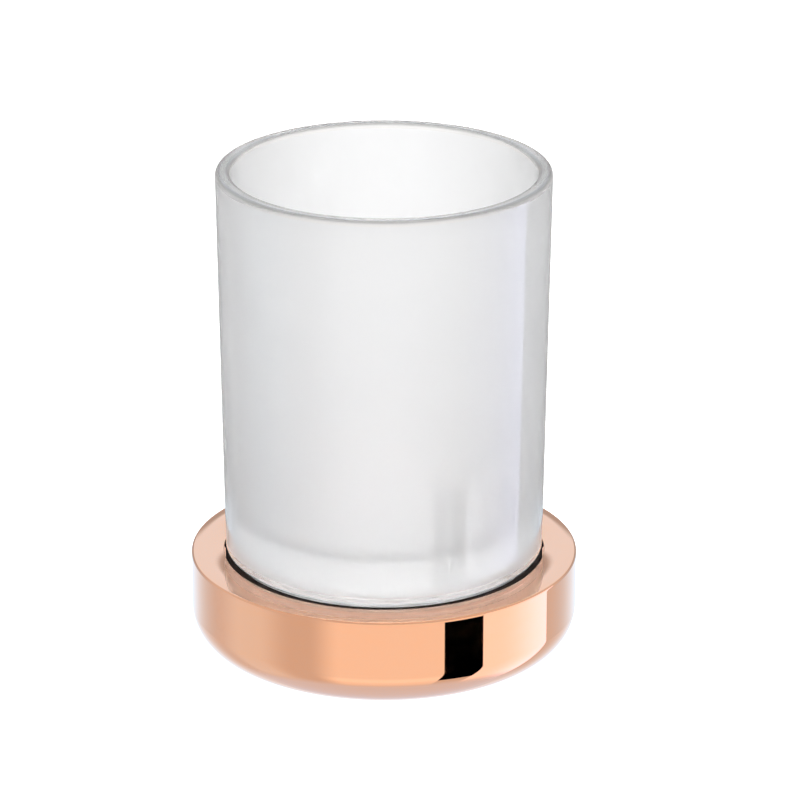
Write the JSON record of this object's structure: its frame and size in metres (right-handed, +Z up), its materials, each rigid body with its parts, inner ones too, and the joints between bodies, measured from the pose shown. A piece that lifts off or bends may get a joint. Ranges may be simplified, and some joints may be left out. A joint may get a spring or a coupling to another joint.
{
  "type": "toothbrush tumbler",
  "caption": "Satin glass toothbrush tumbler that lifts straight off a weighted, rose-gold plated round base for a bathroom counter.",
  "frame": {"origin": "on the table, at the centre of the footprint, under the common axis of the tumbler and the base", "axes": "+Z up along that axis, -Y towards the front, +X to the right when seen from the front"},
  "size_m": [0.084, 0.084, 0.1079],
  "materials": {
    "satin_glass": "satin-etched, slightly opal, under a smooth glossy skin",
    "rose_gold": "turned brass, rose-gold plated, mirror polished",
    "seat_silicone": "translucent white moulded silicone",
    "seat_ring_rubber": "soft black rubber",
    "cast_weight": "cast iron, black lacquered",
    "gasket_rubber": "black sealing rubber",
    "cover_plastic": "fine-textured charcoal moulding",
    "screw_steel": "stainless steel",
    "foot_rubber": "matt black non-slip rubber"
  },
  "bodies": {
    "base": {"base_shell": "rose_gold", "tumbler_seat": "seat_silicone", "seat_ring": "seat_ring_rubber", "ballast_disc": "cast_weight", "cover_gasket": "gasket_rubber", "bottom_cover": "cover_plastic", "cover_screw_1": "screw_steel", "cover_screw_2": "screw_steel", "cover_screw_3": "screw_steel", "foot_ring": "foot_rubber"},
    "tumbler": {"tumbler": "satin_glass"}
  },
  "joints": [
    {"name": "tumbler_lift", "type": "slide", "parent": "base", "child": "tumbler", "axis": [0, 0, 1], "range_m": [0, 0.06]}
  ]
}
